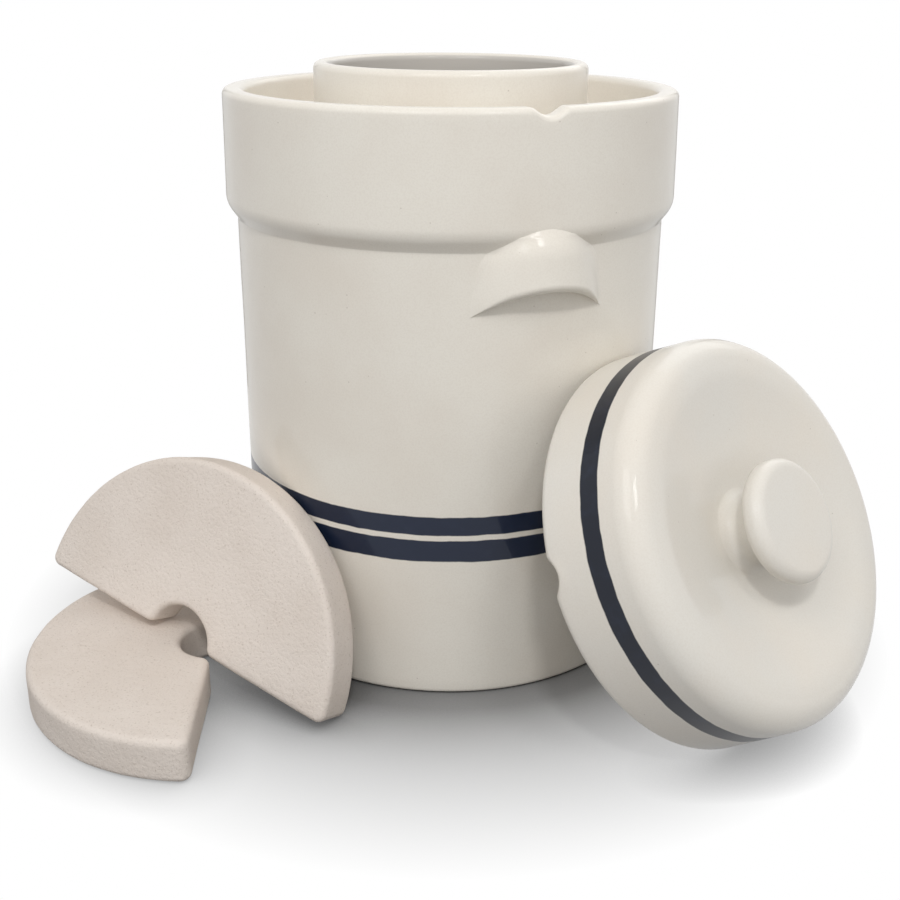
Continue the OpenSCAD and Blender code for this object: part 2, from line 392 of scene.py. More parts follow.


# %% [markdown]
# ## Gloss
# A fired glaze is a layer of glass. Light sinks into its cloudy body and comes back soft, and the
# clear skin on top mirrors a lamp as a small crisp spot. One roughness can't give both, so the body
# is fairly rough and a thin smooth coat lies over it. The skin is also faintly uneven, which is
# bump. For the lid a Mapping node turns its coordinates upright, so that its band can be placed
# by height too.

# %% The finished glaze
# Painted shade: a greyer colour for the glaze inside the mouth, where the crock is dark inside.
PAINTED_MOUTH_SHADE = srgb(196, 191, 184)
MOUTH_SHADE_FULL = 0.5
MOUTH_SHADE_ENDS = 1.5
BODY_ROUGH = (0.30, 0.40)


def glassy_skin(tree, where, shader):
    """A soft body, a faintly uneven skin and a thin clear coat."""
    gloss = noised(tree, where, scale=60.0, detail=3.0)
    rough = add(tree, "ShaderNodeMapRange", {"Value": gloss, "To Min": BODY_ROUGH[0],
                                             "To Max": BODY_ROUGH[1]})
    tree.links.new(rough.outputs["Result"], shader.inputs["Roughness"])
    peel = noised(tree, where, scale=140.0)
    bump = add(tree, "ShaderNodeBump", {"Strength": 0.10, "Distance": 0.6 * MM, "Height": peel})
    tree.links.new(bump.outputs[0], shader.inputs["Normal"])
    shader.inputs["Specular IOR Level"].default_value = 0.18
    shader.inputs["Coat Weight"].default_value = 0.40
    shader.inputs["Coat Roughness"].default_value = 0.05


def glaze(name, bands, band_reach, white=CREAM, dark=NAVY, inside=0.0, upright_from=None):
    """White glaze with navy bands. Within the reach called inside, in mm, it is greyer, as painted
    shade inside the mouth.
    """
    material, tree, shader = new_finish(name)
    where = add(tree, "ShaderNodeTexCoord").outputs["Object"]
    level = where
    if upright_from is not None:
        back = upright_from.inverted()
        level = add(tree, "ShaderNodeMapping", {"Vector": where, "Location": back.translation,
                                                "Rotation": back.to_euler()}).outputs[0]
    parts = add(tree, "ShaderNodeSeparateXYZ", {0: level}).outputs
    flat = add(tree, "ShaderNodeCombineXYZ", {0: parts[0], 1: parts[1]}).outputs[0]
    reach = add(tree, "ShaderNodeVectorMath", {0: flat}, operation="LENGTH").outputs["Value"]
    paint = painted_bands(tree, where, parts[2], reach, bands, band_reach)
    colour = white_ground(tree, where, white)
    colour = mixed(tree, paint, colour, navy_paint(tree, where, dark))
    if inside:
        # Painted shade inside the mouth: greyer within the mouth's reach.
        within = ramped(tree, reach, (inside + MOUTH_SHADE_ENDS) * MM, (inside + MOUTH_SHADE_FULL) * MM)
        colour = mixed(tree, within, colour, PAINTED_MOUTH_SHADE)
    tree.links.new(colour, shader.inputs["Base Color"])
    glassy_skin(tree, where, shader)
    print(name, len(tree.nodes), "nodes, bands at", bands)
    return material


LOWER_BAND = (83.4, 96.1)
UPPER_BAND = (99.2, 110.1)
BAND_DEEP = 5.0
pot_glaze = glaze("white_glaze_with_navy_bands", [LOWER_BAND, UPPER_BAND], POT_R - BAND_DEEP,
                  inside=MOUTH_R)

# %% [markdown]
# ## Bare clay
# The weights are fired without a glaze. The clay is beige and quite matte, with a fine sandy grain,
# shallow pits and a faint cloudiness. Grain and pits are too small to model, so they are colour and
# bump.

# %% Bare clay finish
CLAY = srgb(226, 216, 207)
CLAY_DEEP = srgb(219, 208, 198)
SAND_DARK = srgb(193, 180, 168)
SAND_PALE = srgb(226, 218, 210)
PALE_SHARE = 0.5
GRAIN_HEIGHT = 0.6


def bare_clay(name):
    """Matte beige clay with a sandy grain and shallow pits."""
    material, tree, shader = new_finish(name)
    where = add(tree, "ShaderNodeTexCoord").outputs["Object"]
    cloud = ramped(tree, noised(tree, where, scale=22.0, detail=4.0), 0.3, 0.75)
    colour = mixed(tree, cloud, CLAY, CLAY_DEEP)
    grain = noised(tree, where, scale=900.0, rough=0.7)
    colour = mixed(tree, ramped(tree, grain, 0.56, 0.78), colour, SAND_DARK)
    pale = ramped(tree, noised(tree, where, scale=620.0, rough=0.6), 0.6, 0.75)
    colour = mixed(tree, maths(tree, "MULTIPLY", pale, PALE_SHARE), colour, SAND_PALE)
    tree.links.new(colour, shader.inputs["Base Color"])
    pits = ramped(tree, noised(tree, where, scale=420.0, detail=3.0, rough=0.6), 0.3, 0.62)
    height = maths(tree, "ADD", maths(tree, "MULTIPLY", grain, GRAIN_HEIGHT), pits)
    bump = add(tree, "ShaderNodeBump", {"Strength": 0.35, "Distance": 0.5 * MM, "Height": height})
    tree.links.new(bump.outputs[0], shader.inputs["Normal"])
    shader.inputs["Roughness"].default_value = 0.92
    shader.inputs["Specular IOR Level"].default_value = 0.25
    print(name, len(tree.nodes), "nodes")
    return material


clay = bare_clay("bare_fired_clay")

# %% [markdown]
# ## Pot
# The pot is a straight-sided jar with a rounded foot. It is open at the top, where the collar is
# luted on, and the flat seam between them is hidden in the wall. A cylinder with bevelled edges
# would do, but the turned outline gives the round inside corner of the floor as well.

# %% Turn the pot
FLOOR_T = 13.0
FOOT_ROUND = 3.0
BORE_ROUND = 14.0
pot = turn_round(draw_outline([
    (0, 0), (POT_R, 0, FOOT_ROUND), (POT_R, SEAM_Z), (BORE_R, SEAM_Z),
    (BORE_R, FLOOR_T, BORE_ROUND), (0, FLOOR_T)]))
make_piece(wave(pot), "pot_wall", pot_glaze, "crock", "crock_pot")

# %% [markdown]
# ## Notches
# A finger pressed into a wet rim makes a notch: in the crock's rim for water to run over, and in
# the lid's rim for gas to leave. A boolean cut would leave hard edges and long thin faces. Here
# the outline is spun in three sections, with close steps at -Y where the notch goes, and the rim's
# vertices there are pressed along Z, most in the middle and ever less towards the shoulders.

# %% Press a notch into a rim
NOTCH_SECTIONS = ((262, 218), (16, 64), (82, 68))
NOTCH_FULL = 0.6


def eased(t):
    """From 0 to 1 with a soft start and a soft end."""
    t = min(1.0, max(0.0, t))
    return t * t * (3 - 2 * t)


def pressed(x, width, soft):
    """How far a round-bottomed notch is pressed at x, from 0 to 1, with soft shoulders."""
    t = abs(x) / (width / 2 + soft)
    if t >= 1:
        return 0.0
    return (1 - t * t) ** 2 * (1 + NOTCH_FULL * t * t)


def press_notch(bm, width, depth, soft, rim, fade, way, beyond):
    """Press what lies beyond a distance from the axis, and within fade of the rim, up or down."""
    for v in bm.verts:
        x, y, z = v.co / MM
        if -y > beyond and abs(x) < width:
            v.co.z += way * depth * MM * pressed(x, width, soft) * eased(1 - abs(z - rim) / fade)


# %% [markdown]
# ## Collar
# The collar swells out over a soft hollow, rises to a rounded rim, and carries the water gutter
# between its wall and the neck. On the real crock it is thrown apart and luted onto the pot. It is
# turned as one outline with its gutter, because wall, floor and shoulder run into one another in
# wide curves. The overflow notch goes into the rim above the front handle.

# %% Turn the collar and press its notch
SWELL_LOW = 254.3
SWELL_HIGH = 263.0
SWELL_R = 130.0
SWELL_ROUND = 13.0
SWELL_SLOPE = (SWELL_R - POT_R) / (SWELL_HIGH - SWELL_LOW)
HOLLOW_ROUND = 2.0
RIM_ROUND = 3.6
GUTTER_R = 117.0
GUTTER_ROUND = 9.0
SHOULDER_Z = 289.0
SHOULDER_ROUND = 28.0
MOUTH_ROUND = 4.0
collar = turn_round(draw_outline([
    (BORE_R, SEAM_Z), (POT_R, SEAM_Z), (POT_R, SWELL_LOW, HOLLOW_ROUND),
    (SWELL_R, SWELL_HIGH, SWELL_ROUND), (COLLAR_R, RIM_Z, RIM_ROUND), (GUTTER_R, RIM_Z, RIM_ROUND),
    (GUTTER_R, GUTTER_Z, GUTTER_ROUND), (MOUTH_R, GUTTER_Z), (MOUTH_R, SHOULDER_Z, MOUTH_ROUND),
    (BORE_R, SHOULDER_Z, SHOULDER_ROUND), (BORE_R, SEAM_Z)], step=3.0, arc_step=0.8),
    sections=NOTCH_SECTIONS)
press_notch(collar, width=13.0, depth=4.2, soft=4.0, rim=RIM_Z, fade=16.0, way=-1, beyond=100.0)
make_piece(wave(collar), "water_gutter", pot_glaze, "crock", "gutter_collar")

# %% [markdown]
# ## Neck
# The neck is a plain ring with a rounded lip. Its foot runs out in a small cove onto the gutter's
# floor, as slip does when two wet pieces are joined. A bevel can't round a corner between two
# meshes, so the cove is part of the ring's own outline and ends in a very thin edge on the floor.

# %% Turn the neck
FOOT_SUNK = 0.2
COVE_EDGE = 0.01
COVE_SHY = 0.5
NECK_COVE = 6.0
LIP_ROUND = 3.9


def coved_foot(reach, floor, cove):
    """Outline points from under the floor round a thin edge into a cove that rises to the reach."""
    return [(reach + cove, floor - FOOT_SUNK), (reach + cove, floor + COVE_EDGE),
            (reach, floor + COVE_EDGE, cove - COVE_SHY)]


neck = turn_round(draw_outline([
    (MOUTH_R, GUTTER_Z - FOOT_SUNK), *coved_foot(NECK_R, GUTTER_Z, NECK_COVE),
    (NECK_R, NECK_Z, LIP_ROUND), (MOUTH_R, NECK_Z, LIP_ROUND),
    (MOUTH_R, GUTTER_Z - FOOT_SUNK)], step=3.0, arc_step=0.6))
make_piece(wave(neck), "mouth_ring", pot_glaze, "crock", "neck_ring")

# %% [markdown]
# ## Lug handles
# Each handle is a lump of clay pressed onto the wall under the collar, smoothed into it above and
# at the sides, and undercut below so that fingers hook under its arched lip. It could be sculpted,
# but a formula is easier to fit to the photograph. The lump is a leaning face with a rolled crown
# that dies away to an oval footprint, and a soft maximum joins it to the wall behind.

# %% The wall and the lump on it
LIP_Z = 235.0
LIP_OUT = 15.5
LEAN = math.tan(math.radians(8))
CROWN_FROM = 251.5
CROWN_ROLL = 20.0
FOOTPRINT_W = 36.5
FOOTPRINT_H = 47.0
FOOTPRINT_Z = 222.0
FOOTPRINT_FULL = 0.56
FOOTPRINT_LEAST = 0.02
FLANK_AT_LIP = 1.05
FLANK_FULLER = 0.3
FALL_AWAY = 9.0


def wall_reach(z):
    """The crock's outside radius at a height, over the hollow and the swell."""
    if z <= SWELL_LOW:
        return POT_R
    if z <= SWELL_HIGH:
        return POT_R + SWELL_SLOPE * (z - SWELL_LOW)
    arc = SWELL_ROUND * math.tan(math.atan(SWELL_SLOPE) / 2)
    still = min(arc, max(0.0, SWELL_HIGH + arc - z))
    inset = SWELL_ROUND - math.sqrt(SWELL_ROUND ** 2 - still ** 2)
    return SWELL_R + (COLLAR_R - SWELL_R) * (z - SWELL_HIGH) / (RIM_Z - SWELL_HIGH) - inset


def up_the_face(z):
    """0 at the lip and 1 at the crown's top, smooth at both ends."""
    return eased((z - LIP_Z) / (CROWN_FROM + CROWN_ROLL - LIP_Z))


def lump_reach(angle, z):
    """The lump's radius from the crock's axis, which falls below the wall's outside its footprint."""
    face = LIP_OUT + (LIP_Z - z) * LEAN
    over = min(CROWN_ROLL, max(0.0, z - CROWN_FROM))
    proud = face - CROWN_ROLL + math.sqrt(CROWN_ROLL ** 2 - over ** 2)
    along = (z - FOOTPRINT_Z) / FOOTPRINT_H
    half = FOOTPRINT_W * max(FOOTPRINT_LEAST, 1 - along * along) ** FOOTPRINT_FULL
    across = (POT_R * math.sin(angle) / half) ** 2
    if across < 1:
        return POT_R + proud * (1 - across) ** (FLANK_AT_LIP - FLANK_FULLER * up_the_face(z))
    return POT_R - FALL_AWAY * (across - 1)


# %% [markdown]
# ## One column of a lug
# The lug's skin is a grid of columns side by side round the wall. Each column runs down the face,
# rolls round the lip and goes back under it to the wall. The lip's height follows an arch, and
# because the arch is measured straight across while the columns fan out, a few rounds of trying
# find where each column meets it.

# %% Draw one column of a lug
LUG_TOP = 278.0
ARCH = 13.0
ARCH_R = (FOOTPRINT_W ** 2 + ARCH ** 2) / (2 * ARCH)
ARCH_PAST = 3.0
ARCH_TRIES = 4
LIP_ROLL = 4.5
LIP_LEAST = 0.05
LIP_SHARE = 0.42
LIP_TURN = math.radians(100)
UNDER_RISE = 0.28
UNDER_SUNK = 2.0
WALL_SUNK = 0.8
BLEND_LEAST = 3.0
BLEND_MORE = 16.0
FACE_ROWS = 64
LIP_ROWS = 12
UNDER_ROWS = 8


def soft_max(a, b, k):
    """The larger of two values, with a rounded change between them that is k wide."""
    share = min(1.0, max(0.0, 0.5 + 0.5 * (b - a) / k))
    return a + (b - a) * share + k * share * (1 - share)


def lug_reach(angle, z):
    """The lug's skin: a wall just under the real one, and the lump, softly joined."""
    t = up_the_face(z)
    blend = BLEND_LEAST + BLEND_MORE * t * (1 - t)
    return soft_max(wall_reach(z) - WALL_SUNK, lump_reach(angle, z), blend)


def lug_column(angle):
    """Points (radius, height) down one column of the lug: face, rolled lip and underside."""
    lip_z = LIP_Z
    for _ in range(ARCH_TRIES):
        x = min(ARCH_R - 1, abs(lug_reach(angle, lip_z) * math.sin(angle)))
        lip_z = max(LIP_Z - ARCH - ARCH_PAST, LIP_Z - ARCH_R + math.sqrt(ARCH_R ** 2 - x * x))
    proud = lug_reach(angle, lip_z) - wall_reach(lip_z)
    roll = min(LIP_ROLL, max(LIP_LEAST, LIP_SHARE * proud))
    points = []
    for i in range(FACE_ROWS):
        z = LUG_TOP + (lip_z + roll - LUG_TOP) * i / (FACE_ROWS - 1)
        points.append((lug_reach(angle, z), z))
    r, z = points[-1]
    for i in range(1, LIP_ROWS + 1):
        a = LIP_TURN * i / LIP_ROWS
        points.append((r - roll + roll * math.cos(a), z - roll * math.sin(a)))
    r, z = points[-1]
    wall = POT_R - UNDER_SUNK
    for i in range(1, UNDER_ROWS + 1):
        t = i / UNDER_ROWS
        points.append((r + (wall - r) * t, z + UNDER_RISE * max(0.0, proud) * t * t))
    return points


# %% [markdown]
# ## The lug from a grid
# A flat grid is laid over the columns, vertex by vertex. Its border is then extruded a little
# towards the axis and filled, which closes the lug to a solid whose back is hidden in the wall.
# The rear lug is the same mesh turned half round.

# %% Push the lugs out of the wall
LUG_SPREAD = math.radians(21.0)
LUG_COLUMNS = 112
LUG_BACK = 3.0


def lug(turn):
    """A closed lug, turned about the crock's axis."""
    last_row = FACE_ROWS + LIP_ROWS + UNDER_ROWS - 1
    angles = [LUG_SPREAD * (2 * c / LUG_COLUMNS - 1) for c in range(LUG_COLUMNS + 1)]
    drawn = [lug_column(angle) for angle in angles]
    bm = bmesh.new()
    bmesh.ops.create_grid(bm, x_segments=LUG_COLUMNS, y_segments=last_row, size=1.0)
    for v in bm.verts:
        c = round((v.co.x + 1) / 2 * LUG_COLUMNS)
        r, z = drawn[c][round((1 - v.co.y) / 2 * last_row)]
        v.co = Vector((r * math.sin(angles[c]), -r * math.cos(angles[c]), z)) * MM
    border = [e for e in bm.edges if e.is_boundary]
    for v in only_verts(bmesh.ops.extrude_edge_only(bm, edges=border)["geom"]):
        r = math.hypot(v.co.x, v.co.y)
        v.co.x *= 1 - LUG_BACK * MM / r
        v.co.y *= 1 - LUG_BACK * MM / r
    bmesh.ops.holes_fill(bm, edges=[e for e in bm.edges if e.is_boundary], sides=0)
    bmesh.ops.recalc_face_normals(bm, faces=bm.faces[:])
    bmesh.ops.rotate(bm, verts=bm.verts[:], cent=(0, 0, 0), matrix=Matrix.Rotation(turn, 3, "Z"))
    return wave(bm)


make_piece(lug(0.0), "lug_front", pot_glaze, "crock", "front_handle")
make_piece(lug(math.pi), "lug_rear", pot_glaze, "crock", "rear_handle")

# %% [markdown]
# ## Where the lid leans
# The lid leans on the pot with its rim on the table. It is easiest to turn a piece upright on the
# origin, so its place is worked out first, as a matrix: the lid is tipped back, moved out until its
# rounded rim just clears the pot and the table, and turned to its bearing. The lid's glaze uses the
# same matrix, backwards, to find its band.

# %% Place the lid and mix its glaze
LID_R = 109.0
CROWN_R = 103.0
LID_H = 58.0
LID_ROUND = 4.5
LID_BEARING = math.radians(24.3)
LID_RAISE = math.radians(30)
CLEAR = 0.3
LID_BAND = (26.7, 37.2)
LID_BAND_DEEP = 7.0
# Painted shade: the lid gets darker copies of the pot's cream and navy, because it faces up to the
# lamps and its band catches more gloss.
LID_SHADED_CREAM = srgb(225, 221, 213)
LID_SHADED_NAVY = srgb(5, 15, 33)
side_angle = math.pi / 2 - math.atan((LID_R - CROWN_R) / LID_H)
edge_r = LID_R - LID_ROUND / math.tan(side_angle / 2)
lid_z = edge_r * math.cos(LID_RAISE) + LID_ROUND * (1 - math.sin(LID_RAISE))
lid_out = POT_R + CLEAR + LID_ROUND * (1 - math.cos(LID_RAISE)) + edge_r * math.sin(LID_RAISE)
lid_place = (Matrix.Rotation(LID_BEARING, 4, "Z")
             @ Matrix.Translation(Vector((0, -lid_out, lid_z)) * MM)
             @ Matrix.Rotation(math.pi / 2 - LID_RAISE, 4, "X"))
lid_glaze = glaze("white_glaze_with_one_band", [LID_BAND], LID_R - LID_BAND_DEEP, LID_SHADED_CREAM, LID_SHADED_NAVY,
                  upright_from=lid_place)
print("lid's middle", round(lid_out, 1), "mm from the axis and", round(lid_z, 1), "mm up")

# %% [markdown]
# ## Lid
# The lid is a thick-walled cap: its plain rim sits in the gutter, its shoulder is full and soft, and
# its broad middle is a shallow dish round the knob. One outline, up the inside and down the
# outside, keeps the wall's thickness even. A shell with a Solidify modifier would be quicker, but
# can thin out in tight curves. The gas notch is pressed into the rim, and the lid is then
# turned so that the notch faces the way it does in the photograph.

# %% Turn the lid and lean it on the pot
LID_BORE_R = 99.0
LID_WALL = 10.0
DISH_OUT = 83.0
DISH_IN = 26.0
DISH_H = 43.0
CROWN_ROUND = 14.0
DISH_ROUND = 38.0
GAS_NOTCH_TURN = math.radians(-100)
dish_slope = math.atan((LID_H - DISH_H) / (DISH_OUT - DISH_IN))
aside = LID_WALL * math.tan(dish_slope / 2)
inner_crown = CROWN_R - LID_WALL + (LID_R - CROWN_R) * LID_WALL / LID_H
lid = turn_round(draw_outline([
    (0, DISH_H - LID_WALL), (DISH_IN + aside, DISH_H - LID_WALL, DISH_ROUND + LID_WALL),
    (DISH_OUT + aside, LID_H - LID_WALL, DISH_ROUND - LID_WALL),
    (inner_crown, LID_H - LID_WALL, CROWN_ROUND - LID_WALL),
    (LID_BORE_R, 0, LID_ROUND), (LID_R, 0, LID_ROUND), (CROWN_R, LID_H, CROWN_ROUND),
    (DISH_OUT, LID_H, DISH_ROUND), (DISH_IN, DISH_H, DISH_ROUND), (0, DISH_H)],
    step=4.0, arc_step=1.0), sections=NOTCH_SECTIONS)
press_notch(lid, width=16.0, depth=5.0, soft=3.0, rim=0.0, fade=14.0, way=1, beyond=92.0)
bmesh.ops.rotate(lid, verts=lid.verts[:], cent=(0, 0, 0),
                 matrix=Matrix.Rotation(GAS_NOTCH_TURN, 3, "Z"))
wave(lid)
bmesh.ops.transform(lid, matrix=lid_place, verts=lid.verts[:])
make_piece(lid, "lid_dome", lid_glaze, "lid", "lid_shell")

# %% [markdown]
# ## Knob
# The knob is a mushroom: a flat-topped cap with a full round edge on a waisted stem. It is thrown
# apart and luted into the dish, and its foot runs out in a cove, so the join doesn't show. It is
# turned in one outline like the neck, with the same kind of cove, and moved to its place with the
# lid's own matrix.

# %% Turn the knob
STEM_R = 17.0
KNOB_R = 32.5
CAP_H = 62.5
KNOB_H = 75.5
KNOB_COVE = 8.0
KNOB_ROUND = 6.0
knob = turn_round(draw_outline([
    (0, DISH_H - FOOT_SUNK), *coved_foot(STEM_R, DISH_H, KNOB_COVE),
    (STEM_R, CAP_H, KNOB_ROUND), (KNOB_R, CAP_H, KNOB_ROUND), (KNOB_R, KNOB_H, KNOB_ROUND),
    (0, KNOB_H)], step=3.0, arc_step=0.6), sections=((360, 160),))
wave(knob, depth=0.2, size=25.0)
bmesh.ops.transform(knob, matrix=lid_place, verts=knob.verts[:])
make_piece(knob, "lid_grip", lid_glaze, "lid", "lid_knob")

# %% [markdown]
# ## Plan of a weight
# A weight is half of a thick ring, pressed in a mould, with rounded corners. Half of a cut ring
# would have sharp ones, so one vertex draws the plan instead: straight along the split, round each
# corner, and round the ring's own centre for the outer edge and the finger hole.

# %% Draw a weight's plan
WEIGHT_R = 106.0
HOLE_R = 20.5
HALF_SPLIT = 1.2
CORNER = 6.0
PLAN_SPOT = 1e-5


def weight_plan():
    """One flat face in the shape of a half ring, with its split along X."""
    cy = HALF_SPLIT + CORNER
    out_x = math.sqrt((WEIGHT_R - CORNER) ** 2 - cy * cy)
    in_x = math.sqrt((HOLE_R + CORNER) ** 2 - cy * cy)
    out_turn = math.atan2(cy, out_x)
    in_turn = math.atan2(cy, in_x)
    bm = bmesh.new()

    def straight(tip, x, steps):
        a = tip.co.copy()
        b = Vector((x, HALF_SPLIT, 0)) * MM
        for i in range(steps):
            tip = bmesh.ops.extrude_vert_indiv(bm, verts=[tip])["verts"][0]
            tip.co = a.lerp(b, (i + 1) / steps)
        return tip

    def sweep(tip, x, y, angle, steps):
        made = bmesh.ops.spin(bm, geom=[tip], cent=Vector((x, y, 0)) * MM, axis=(0, 0, 1),
                              angle=angle, steps=steps, use_duplicate=False)
        return only_verts(made["geom_last"])[0]

    tip = bm.verts.new(Vector((in_x, HALF_SPLIT, 0)) * MM)
    tip = straight(tip, out_x, steps=12)
    tip = sweep(tip, out_x, cy, math.pi / 2 + out_turn, steps=12)
    tip = sweep(tip, 0, 0, math.pi - 2 * out_turn, steps=72)
    tip = sweep(tip, -out_x, cy, math.pi / 2 + out_turn, steps=12)
    tip = straight(tip, -in_x, steps=12)
    tip = sweep(tip, -in_x, cy, math.pi / 2 - in_turn, steps=8)
    tip = sweep(tip, 0, 0, 2 * in_turn - math.pi, steps=20)
    sweep(tip, in_x, cy, math.pi / 2 - in_turn, steps=8)
    bmesh.ops.remove_doubles(bm, verts=bm.verts[:], dist=PLAN_SPOT)
    bmesh.ops.contextual_create(bm, geom=bm.edges[:])
    return bm


# %% [markdown]
# ## Body of a weight
# The weight comes out of its mould as a slab with rounded edges. The plan is extruded to that
# thickness, and a bevel rounds the edges. That leaves two big flat faces, which can't bend, so
# planes cut them and the sides into cells. Subdividing could cut them too, but a face with so many
# corners would fall into a fan of thin triangles.

# %% Thicken, round and cut a weight
_, WEIGHT_T = cad_foot_and_top("lying_weight")
EDGE_ROUND = 4.0
STEEP = 1.0
LEVEL = 1e-6
BIG_FACE = 1e-3
FACES_UP = 0.99
SIDE_CUTS = (7, 10, 12.5, 15, 18)
CELL = 4
CELL_SHIFT = 0.37
CELLS_OUT = 104


def thicken(bm):
    """Extrude the plan, and round the edges of both big faces."""
    raised = only_verts(bmesh.ops.extrude_face_region(bm, geom=bm.faces[:])["geom"])
    bmesh.ops.translate(bm, verts=raised, vec=(0, 0, WEIGHT_T * MM))
    bmesh.ops.recalc_face_normals(bm, faces=bm.faces[:])
    around = [e for e in bm.edges if e.calc_face_angle() > STEEP
              and abs(e.verts[0].co.z - e.verts[1].co.z) < LEVEL]
    bmesh.ops.bevel(bm, geom=around, offset=EDGE_ROUND * MM, offset_type="OFFSET", affect="EDGES",
                    segments=6, profile=0.5, material=-1, clamp_overlap=True)


def cut_into_cells(bm):
    """Cut the sides at a few heights, and the big faces along X and Y."""
    for z in SIDE_CUTS:
        bmesh.ops.bisect_plane(bm, geom=bm.verts[:] + bm.edges[:] + bm.faces[:], dist=LEVEL,
                               plane_co=(0, 0, z * MM), plane_no=(0, 0, 1))
    bm.normal_update()
    cells = [f for f in bm.faces if abs(f.normal.z) > FACES_UP and f.calc_area() > BIG_FACE]
    edges = {e for f in cells for e in f.edges}
    corners = {v for f in cells for v in f.verts}
    cells = cells + list(edges) + list(corners)
    across = range(-CELLS_OUT, CELLS_OUT + 1, CELL)
    back = range(2 * CELL, CELLS_OUT, CELL)
    for axis, places in (((1, 0, 0), across), ((0, 1, 0), back)):
        for at in places:
            cells = bmesh.ops.bisect_plane(bm, geom=cells, dist=LEVEL, plane_no=axis,
                                           plane_co=Vector(axis) * (at + CELL_SHIFT) * MM)["geom"]
    bm.normal_update()


# %% [markdown]
# ## Skin of a weight
# Pressed clay is slightly uneven, with broad swells and finer dents. Two noises, each with a depth
# and a size in mm, move the vertices along their normals, and a small step inwards keeps the skin
# inside the drawing. Bump in the material would do for the faces, but the edges would stay too even.

# %% Give a weight its uneven skin
BROAD_SWELLS = (0.22, 30)
FINE_DENTS = (0.12, 9)
SKIN_IN = 0.15


def half_weight(seed):
    """A finished weight, flat on the floor. The seed moves it through the noise."""
    bm = weight_plan()
    thicken(bm)
    cut_into_cells(bm)
    for v in bm.verts:
        p = v.co / MM + Vector((seed, 0, 0))
        push = -SKIN_IN
        for depth, size in (BROAD_SWELLS, FINE_DENTS):
            push += depth * noise.noise(p / size)
        v.co += v.normal * push * MM
    return bm


# %% [markdown]
# ## Where the weights rest
# One weight lies flat, and the other leans with its face to the viewer on the pot and on the first.
# Their turns are the drawing's own. How far each is moved is read from its CAD node's box, so that
# the drawing's stance is followed without working it out twice.

# %% Rest the weights
LYING_TURN = math.radians(70.3)
LEAN_BEARING = math.radians(-51.3)
LEAN_RAISE = math.radians(19)
LEAN_ROLL = math.radians(12.2)


def settle(bm, turned, node):
    """Turn a mesh, then move it to the middle of its CAD node's box."""
    bmesh.ops.transform(bm, matrix=turned, verts=bm.verts[:])
    shift = Vector((0, 0, 0))
    for i, (low, high) in enumerate(zip(*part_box(node))):
        along = [v.co[i] for v in bm.verts]
        shift[i] = (low + high - min(along) - max(along)) / 2
    bmesh.ops.translate(bm, vec=shift, verts=bm.verts[:])


lying_turn = Matrix.Rotation(LYING_TURN, 4, "Z")
leaning_turn = (Matrix.Rotation(LEAN_BEARING, 4, "Z")
                @ Matrix.Rotation(math.pi / 2 - LEAN_RAISE, 4, "X")
                @ Matrix.Rotation(-LEAN_ROLL, 4, "Z"))
for name, turned, body, node, seed in (
        ("weight_lying", lying_turn, "lying_half", "lying_weight", 0),
        ("weight_leaning", leaning_turn, "leaning_half", "leaning_weight", 300)):
    weight = half_weight(seed)
    settle(weight, turned, node)
    make_piece(weight, name, clay, body, node)

# %% [markdown]
# ## Floor
# The crock stands on a white sweep. To rays that look at it, straight or in a gloss, the paper is
# plain white far from the crock. Near it, it is a dim grey diffuse surface that keeps the soft
# shadow and adds a painted shadow, and both get painted shade where something stands close above.
# To rays that only carry light it is a dull grey, so that it lights the ware little from below.
# More light could whiten the paper too, but would burn out the glaze.


# %% White paper that keeps the shadow
def seen_rays(tree):
    """1 for rays that look at the backdrop, straight or in a gloss, and 0 for those that light it."""
    path = add(tree, "ShaderNodeLightPath").outputs
    straight = maths(tree, "MAXIMUM", path["Is Camera Ray"], path["Is Glossy Ray"])
    return maths(tree, "MAXIMUM", straight, path["Is Transmission Ray"])


def openness(tree, distance):
    """1 in the open, and less where something is close above, within a distance in metres."""
    return add(tree, "ShaderNodeAmbientOcclusion", {"Distance": distance}, samples=8).outputs["AO"]


SHADOW_NEAR = 0.14
SHADOW_FAR = 0.28
paper = bpy.data.materials.new("white_paper")
tree = bare_tree(paper)
middle = add(tree, "ShaderNodeTexCoord").outputs["Object"]
away = add(tree, "ShaderNodeVectorMath", {0: middle}, operation="LENGTH").outputs["Value"]
far = add(tree, "ShaderNodeMapRange", {"Value": away, "From Min": SHADOW_NEAR, "From Max": SHADOW_FAR})
# Painted shadow: the diffuse paper near the crock is grey, and both tones darken by ambient occlusion
# where something stands close above.
painted_shade_tone = mixed(tree, openness(tree, 0.08), grey(0.02), grey(0.45))
white_with_painted_shadow = mixed(tree, openness(tree, 0.03), grey(0.4), grey(1.0))
shaded = add(tree, "ShaderNodeBsdfDiffuse", {"Color": painted_shade_tone}).outputs[0]
white = add(tree, "ShaderNodeEmission", {"Color": white_with_painted_shadow, "Strength": 1.0}).outputs[0]
shown = add(tree, "ShaderNodeMixShader", {0: far.outputs["Result"], 1: shaded, 2: white}).outputs[0]
bounce = add(tree, "ShaderNodeBsdfDiffuse", {"Color": grey(0.25)}).outputs[0]
both = add(tree, "ShaderNodeMixShader", {0: seen_rays(tree), 1: bounce, 2: shown}).outputs[0]
add(tree, "ShaderNodeOutputMaterial", {"Surface": both})
print(paper.name, len(tree.nodes), "nodes, shadow out to", SHADOW_FAR, "m")

# %% [markdown]
# ## The sheet itself
# A studio sweep curves up behind the ware. Here the room is as white as the paper, so a flat square
# that is far larger than the picture needs no curve.

